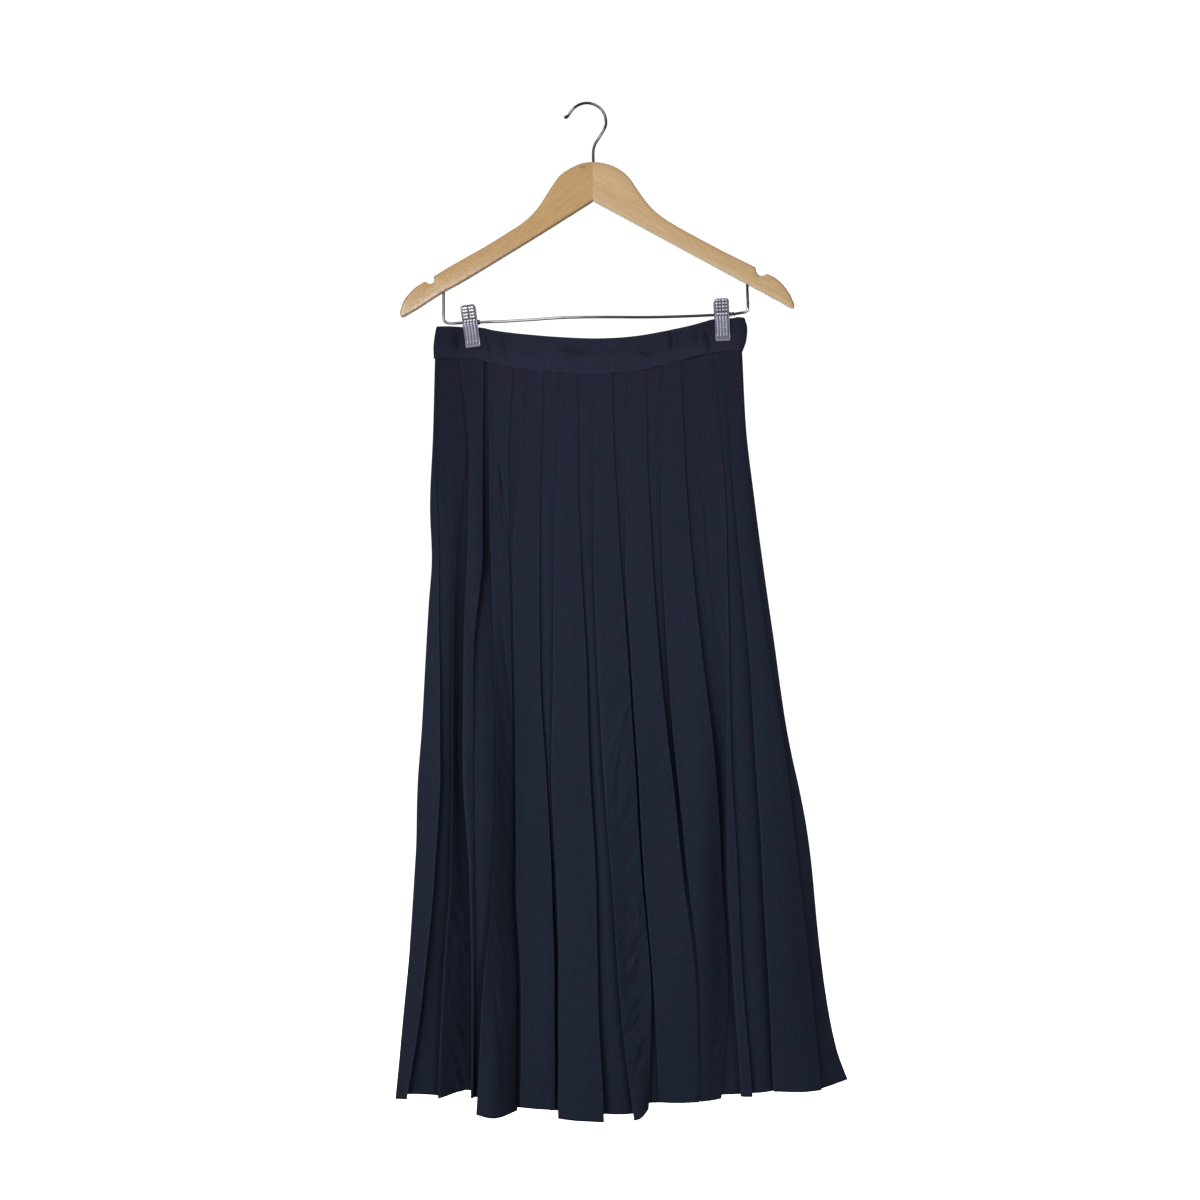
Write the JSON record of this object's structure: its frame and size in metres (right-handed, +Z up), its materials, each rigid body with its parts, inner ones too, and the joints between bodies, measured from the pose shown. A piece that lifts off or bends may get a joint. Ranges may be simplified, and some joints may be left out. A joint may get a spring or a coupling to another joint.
{
  "type": "pleated skirt on a clip hanger",
  "caption": "Long dark navy pleated crepe skirt with a plain waistband, hung from a wooden clip hanger by its waist, open at the waist and the hem.",
  "frame": {"origin": "underside of the hook's arc, where a rail or a peg carries the hanger, midway through the wire", "axes": "+Z up; the skirt's front looks along -Y; +X is to the right as seen from the front"},
  "size_m": [0.507, 0.0943, 1.1308],
  "materials": {
    "crepe": "matt crepe, very dark navy",
    "band_crepe": "matt crepe, very dark navy",
    "varnished_wood": "clear satin varnish",
    "chrome_wire": "polished",
    "clip_steel": "plated, satin"
  },
  "bodies": {
    "root": {"waistband_front": "band_crepe", "waistband_back": "band_crepe", "skirt_front": "crepe", "skirt_back": "crepe", "hanger_arm_left": "varnished_wood", "hanger_arm_right": "varnished_wood", "hanger_hook": "chrome_wire", "hanger_bar": "chrome_wire", "clip_left_front": "clip_steel", "clip_left_back": "clip_steel", "clip_left_spring": "clip_steel", "clip_right_front": "clip_steel", "clip_right_back": "clip_steel", "clip_right_spring": "clip_steel"}
  },
  "joints": []
}
